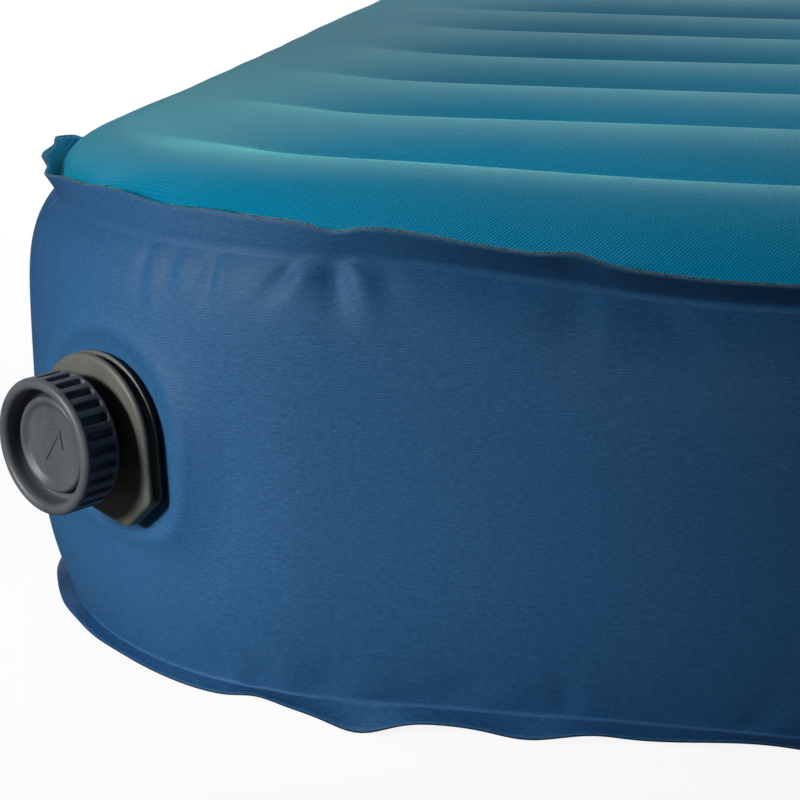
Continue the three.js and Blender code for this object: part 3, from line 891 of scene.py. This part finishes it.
# ---- Valves, each in its own frame with +Z out of the wall and +Y up ----
FLANGE_BACK = 0.3  # of the valve's own flange, behind the plate
FLANGE_FRONT = 1.1
FLANGE_MARGIN = -0.6
PLATE_BACK = 1.4
PLATE_FRONT = 4.9
TIP_ROUNDING = 1.4
SLOT_BACK = 2.0
SLOT_FRONT = 3.8
SLOT_DEPTH = 2.8
CAP_RADIUS = 13.8
CAP_BACK = 8.9
CAP_FRONT = 17.4
CAP_GRIPS = 28
GRIP_STEPS = 20
GRIP_DEPTH = 1.25
GRIP_HALF_WIDTH = 0.24  # as a part of the pitch
GRIP_ROWS = 24
CAP_LIP = 1.2
LIP_STEPS = 12
CAP_FLOOR = CAP_FRONT - 4.2
CAP_BORE = 9.2
CAP_BORE_END = 12.0
CAP_HOLE = 2.4
BARREL_CLEAR = 8.3
DISC_STEPS = 128
ARROW_WIDTH = 0.7


def valve_matrix(side):
    """From a valve's own frame to the part's, in millimetres; side is -1 or 1 in Y."""
    outward = Vector((-math.sin(VALVE_FACING), side * math.cos(VALVE_FACING), 0))
    up = Vector((0, 0, 1))
    across = up.cross(outward)
    centre = Vector((
        -INNER_X - VALVE_REACH * math.sin(VALVE_PLACE),
        side * (INNER_Y + VALVE_REACH * math.cos(VALVE_PLACE)),
        VALVE_HEIGHT))
    turn = Matrix((across, up, outward)).transposed().to_4x4()
    return Matrix.Translation(centre) @ turn


def place_points(points, side):
    """Points of a valve's own frame, moved to where that valve sits."""
    matrix = np.array(valve_matrix(side))
    points = np.asarray(points, float)
    return points @ matrix[:3, :3].T + matrix[:3, 3]


def rounded_corner(before, corner, after, reach):
    """Points round a corner, from one straight edge to the next."""
    before, corner, after = Vector(before), Vector(corner), Vector(after)
    start = corner + (before - corner).normalized() * reach
    end = corner + (after - corner).normalized() * reach
    points = []
    for t in np.linspace(0, 1, 9):
        spot = start * (1 - t) ** 2 + corner * 2 * t * (1 - t) + end * t ** 2
        points.append((spot.x, spot.y))
    return points


def outline_plate(margin, side):
    """A circle with two straight edges running off it to a blunt point, turned into place."""
    radius, tip = PLATE_RADIUS + margin, PLATE_TIP + margin
    leave = math.atan2(PLATE_TIP_HALF, tip) + math.acos(radius / math.hypot(PLATE_TIP_HALF, tip))
    angles = np.linspace(leave - math.pi / 2, 1.5 * math.pi - leave, 90)
    points = [(radius * math.cos(a), radius * math.sin(a)) for a in angles]
    left, right = (-PLATE_TIP_HALF, -tip), (PLATE_TIP_HALF, -tip)
    points += rounded_corner(points[-1], left, right, TIP_ROUNDING)
    points += rounded_corner(left, right, points[0], TIP_ROUNDING)
    turn = -side * PLATE_TURN
    turned = np.array([[math.cos(turn), math.sin(turn)], [-math.sin(turn), math.cos(turn)]])
    return np.array(points) @ turned


def inward_normals(points):
    """Unit directions into a closed outline, one at each of its points."""
    ahead = np.roll(points, -1, axis=0) - np.roll(points, 1, axis=0)
    ahead /= np.linalg.norm(ahead, axis=1)[:, None]
    return np.column_stack([-ahead[:, 1], ahead[:, 0]])


def ring_piece(name, rings, side, body, look, replaced, is_disc=False):
    """A piece through rings with the same number of points, each (points, height).

    The last ring joins the first one, unless it is a disc: then both get a flat face.
    """
    count = len(rings[0][0])
    points = [np.column_stack([flat, np.full(count, height)]) for flat, height in rings]
    faces = ring_faces(len(rings), not is_disc, count=count)
    if is_disc:
        faces += end_faces(len(rings), count)
    placed = place_points(np.concatenate(points), side)
    piece(name, placed, faces, body, look, replaced)


def circle(radius, count):
    """Points of a circle about the valve's axis."""
    angles = np.arange(count) * 2 * math.pi / count
    return np.array([(radius * math.cos(a), radius * math.sin(a)) for a in angles])


def hole_like(outline, radius):
    """A circle with one point for each point of an outline, in the same directions."""
    angle = np.arctan2(outline[:, 1], outline[:, 0])
    return np.column_stack([radius * np.cos(angle), radius * np.sin(angle)])


def make_plate(prefix, side):
    """The face plate: rounded front, with a slot round its edge that stops at the blunt point."""
    outline = outline_plate(0, side)
    swing = tip_swing(outline[:, 0], outline[:, 1], side)
    is_open = smooth(math.radians(13), math.radians(19), np.abs(swing))[:, None]
    normal_in = inward_normals(outline)
    slot = normal_in * SLOT_DEPTH * is_open ** 0.5
    rings = [
        (outline + normal_in * 0.3, PLATE_BACK),
        (outline, PLATE_BACK + 0.2),
        (outline, SLOT_BACK - 0.12),
        (outline + normal_in * 0.1 * is_open, SLOT_BACK),
        (outline + slot, SLOT_BACK + 0.03),
        (outline + slot, SLOT_FRONT - 0.03),
        (outline + normal_in * 0.1 * is_open, SLOT_FRONT),
        (outline, SLOT_FRONT + 0.12),
        (outline + normal_in * 0.08, PLATE_FRONT - 0.55),
        (outline + normal_in * 0.3, PLATE_FRONT - 0.25),
        (outline + normal_in * 0.7, PLATE_FRONT - 0.08),
        (outline + normal_in * 1.3, PLATE_FRONT - 0.01),
        (outline + normal_in * 3.0, PLATE_FRONT),
        (hole_like(outline, BARREL_CLEAR + 1.6), PLATE_FRONT),
        (hole_like(outline, BARREL_CLEAR + 0.4), PLATE_FRONT - 0.1),
        (hole_like(outline, BARREL_CLEAR), PLATE_FRONT - 0.5),
        (hole_like(outline, BARREL_CLEAR), PLATE_BACK),
    ]
    ring_piece(f"{prefix}_plate", rings, side, "mattress", PLATE_LOOK,
               [f"{prefix}_face_plate"])
    edge = outline_plate(FLANGE_MARGIN, side)
    hole = hole_like(edge, BARREL_CLEAR)
    flange = [(edge, FLANGE_BACK), (edge, FLANGE_FRONT), (hole, FLANGE_FRONT), (hole, FLANGE_BACK)]
    ring_piece(f"{prefix}_back_flange", flange, side, "mattress", INNER_LOOK,
               [f"{prefix}_weld_flange"])


def grip_ring(radius, depth, half_width):
    """A ring with a groove in each pitch; half_width is a part of the pitch."""
    angle = np.arange(CAP_GRIPS * GRIP_STEPS) * 2 * math.pi / (CAP_GRIPS * GRIP_STEPS)
    phase = (angle * CAP_GRIPS / (2 * math.pi)) % 1.0
    groove = 1 - smooth(half_width - 0.05, half_width + 0.06, np.abs(phase - 0.5))
    size = radius - depth * groove
    return np.column_stack([size * np.cos(angle), size * np.sin(angle)])


def make_cap(prefix, side):
    """The screw cap: grooved side, closed back round its bore, rounded lip and sunk floor."""
    count = CAP_GRIPS * GRIP_STEPS
    radius, back, front = CAP_RADIUS, CAP_BACK, CAP_FRONT
    rings = [
        (circle(CAP_BORE, count), CAP_BORE_END), (circle(CAP_BORE, count), back + 0.4),
        (circle(CAP_BORE + 0.3, count), back),
        (circle(radius - 0.5, count), back), (circle(radius - 0.12, count), back + 0.18),
        (circle(radius, count), back + 0.5), (circle(radius, count), back + 0.75),
    ]
    start, end = back + 0.85, front - 1.25
    for step in range(GRIP_ROWS + 1):
        place = start + step / GRIP_ROWS * (end - start)
        from_back = 1 - min(1.0, (place - start) / 0.7)
        from_front = 1 - min(1.0, end - place)
        open_part = math.sqrt(max(0.0, 1 - from_back ** 2) * max(0.0, 1 - from_front ** 2))
        depth = GRIP_DEPTH * min(1.0, 1.6 * open_part)
        rings.append((grip_ring(radius - 0.02, depth, GRIP_HALF_WIDTH * open_part), place))
    for step in range(LIP_STEPS + 1):
        angle = math.pi * step / LIP_STEPS
        rings.append((circle(radius - CAP_LIP + CAP_LIP * math.cos(angle), count),
                      front - CAP_LIP + CAP_LIP * math.sin(angle)))
    inner = radius - 2 * CAP_LIP
    rings += [
        (circle(inner - 0.02, count), front - 2.2), (circle(inner - 0.05, count), CAP_FLOOR + 0.5),
        (circle(inner - 0.4, count), CAP_FLOOR), (circle(CAP_HOLE, count), CAP_FLOOR),
        (circle(CAP_HOLE, count), CAP_BORE_END),
    ]
    ring_piece(f"{prefix}_screw_cap", rings, side, f"{prefix}_cap", CAP_LOOK,
               [f"{prefix}_cap"])


def stroke(path, width, low, high):
    """Points and faces of a raised stroke along an open path in the valve's plane."""
    path = np.array(path, float)
    ahead = np.gradient(path, axis=0)
    ahead /= np.linalg.norm(ahead, axis=1)[:, None]
    sideways = np.column_stack([-ahead[:, 1], ahead[:, 0]]) * width / 2
    count = len(path)
    points = []
    for flat, height in ((path - sideways, low), (path - sideways * 0.8, high),
                         (path + sideways * 0.8, high), (path + sideways, low)):
        points.append(np.column_stack([flat, np.full(count, height)]))
    faces = []
    for edge in range(4):
        first, second = edge * count, (edge + 1) % 4 * count
        for i in range(count - 1):
            faces.append((first + i, first + i + 1, second + i + 1, second + i))
    faces.append((0, count, 2 * count, 3 * count))
    faces.append((4 * count - 1, 3 * count - 1, 2 * count - 1, count - 1))
    return np.concatenate(points), faces


def make_centre(prefix, side):
    """The dished disc in the cap's face, with a raised border and a plain raised arrow."""
    body = f"{prefix}_cap"
    section = [
        (9.5, -3.9), (9.68, -3.7), (9.7, -2.95), (9.6, -2.6), (9.35, -2.32), (9.0, -2.2),
        (8.7, -2.26), (8.3, -2.5), (7.95, -2.8), (7.6, -2.98), (7.1, -3.03), (4.0, -3.03),
        (0.6, -3.02),
    ]
    rings = [(circle(radius, DISC_STEPS), CAP_FRONT + height) for radius, height in section]
    ring_piece(f"{prefix}_centre", rings, side, body, CAP_LOOK,
               [f"{prefix}_cap_centre"], is_disc=True)
    low, high = CAP_FRONT - 3.1, CAP_FRONT - 2.82
    turn = Matrix.Rotation(math.radians(-35 if side < 0 else 145), 2)
    shaft = [turn @ Vector((0, y)) for y in np.linspace(-4.2, 3.6, 5)]
    head = [turn @ Vector((x, 3.9 - abs(x))) for x in np.linspace(-2.6, 2.6, 9)]
    points, faces = stroke(shaft, ARROW_WIDTH, low, high)
    more, more_faces = stroke(head, ARROW_WIDTH, low, high + 0.02)
    faces += [tuple(i + len(points) for i in face) for face in more_faces]
    placed = place_points(np.concatenate([points, more]), side)
    piece(f"{prefix}_arrow", placed, faces, body, CAP_LOOK, smooth_shade=False)


def dress(node_name, look):
    """Gives a CAD node that stays visible a material of this scene."""
    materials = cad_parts[node_name].data.materials
    materials.clear()
    materials.append(look)


for prefix, side in (("out_valve", -1), ("in_valve", 1)):
    make_plate(prefix, side)
    make_cap(prefix, side)
    make_centre(prefix, side)
    for part in ("barrel", "poppet", "flap_seat", "guard_cage"):
        dress(f"{prefix}_{part}", INNER_LOOK)
    for part in ("poppet_seal", "cap_seal", "check_flap"):
        dress(f"{prefix}_{part}", RUBBER_LOOK)


# ---- Floor, backdrop and light, in metres and watts ----
FLOOR_SIZE = 9.0  # from the middle to each side
FLOOR_DROP = 0.0005  # keeps the floor clear of the underside
FLOOR_GLOW = 0.9  # what the camera sees of it, beside the light that falls on it
AMBIENT = 0.022  # strength of the light from all round


def make_floor():
    """A pale floor that looks nearly white to the camera but throws little light upwards."""
    mesh = bpy.data.meshes.new("floor")
    signs = ((-1, -1), (1, -1), (1, 1), (-1, 1))
    corners = [(x * FLOOR_SIZE, y * FLOOR_SIZE, 0) for x, y in signs]
    mesh.from_pydata(corners, [], [(0, 1, 2, 3)])
    floor = add_object("floor", mesh)
    made, tree, shader = new_material("floor_paper")
    shader.inputs["Base Color"].default_value = (0.2, 0.2, 0.2, 1)
    shader.inputs["Roughness"].default_value = 0.95
    shader.inputs["Specular IOR Level"].default_value = 0.1
    shader.inputs["Emission Color"].default_value = (1, 1, 1, 1)
    light_path = tree.nodes.new("ShaderNodeLightPath")
    glow = maths(tree, "MULTIPLY", light_path.outputs["Is Camera Ray"], FLOOR_GLOW)
    tree.links.new(glow, shader.inputs["Emission Strength"])
    mesh.materials.append(made)
    floor.location.z = -FLOOR_DROP


def add_light(data, place, target):
    """Puts a light in the scene, pointing at a target."""
    light = add_object(data.name, data)
    light.location = place
    light.rotation_euler = (Vector(target) - Vector(place)).to_track_quat("-Z", "Y").to_euler()
    return light


def area_light(name, place, target, size, power):
    """A white rectangular light that the camera doesn't see."""
    data = bpy.data.lights.new(name, "AREA")
    data.shape = "RECTANGLE"
    data.size, data.size_y = size
    data.energy = power
    add_light(data, place, target).visible_camera = False


def spot_light(name, place, target, power, spread, softness):
    """A soft-edged spot; spread is its whole angle in degrees, softness its radius."""
    data = bpy.data.lights.new(name, "SPOT")
    data.energy = power
    data.spot_size = math.radians(spread)
    data.spot_blend = 1.0
    data.shadow_soft_size = softness
    add_light(data, place, target)


def make_world():
    """White behind the object, dim light from all round it."""
    world = bpy.data.worlds.new("studio")
    bpy.context.scene.world = world
    world.use_nodes = True
    tree = world.node_tree
    background = tree.nodes["Background"]
    background.inputs["Color"].default_value = (1, 1, 1, 1)
    light_path = tree.nodes.new("ShaderNodeLightPath")
    level = maths(tree, "MULTIPLY_ADD", light_path.outputs["Is Camera Ray"], 1 - AMBIENT)
    level.node.inputs[2].default_value = AMBIENT
    tree.links.new(level, background.inputs["Strength"])


make_floor()
area_light("top_back", (-0.35, 1.1, 1.7), (-0.6, 0.0, 0.1), size=(2.6, 1.2), power=24)
area_light("backdrop", (-0.8, 2.3, 0.75), (-0.7, -0.2, 0.1), size=(4.5, 0.8), power=22)
spot_light("corner_spot", (-1.36, -0.80, 0.30), (-0.944, -0.315, 0.054),
           power=37, spread=16.5, softness=0.10)
make_world()
bpy.context.scene.view_settings.view_transform = "Standard"
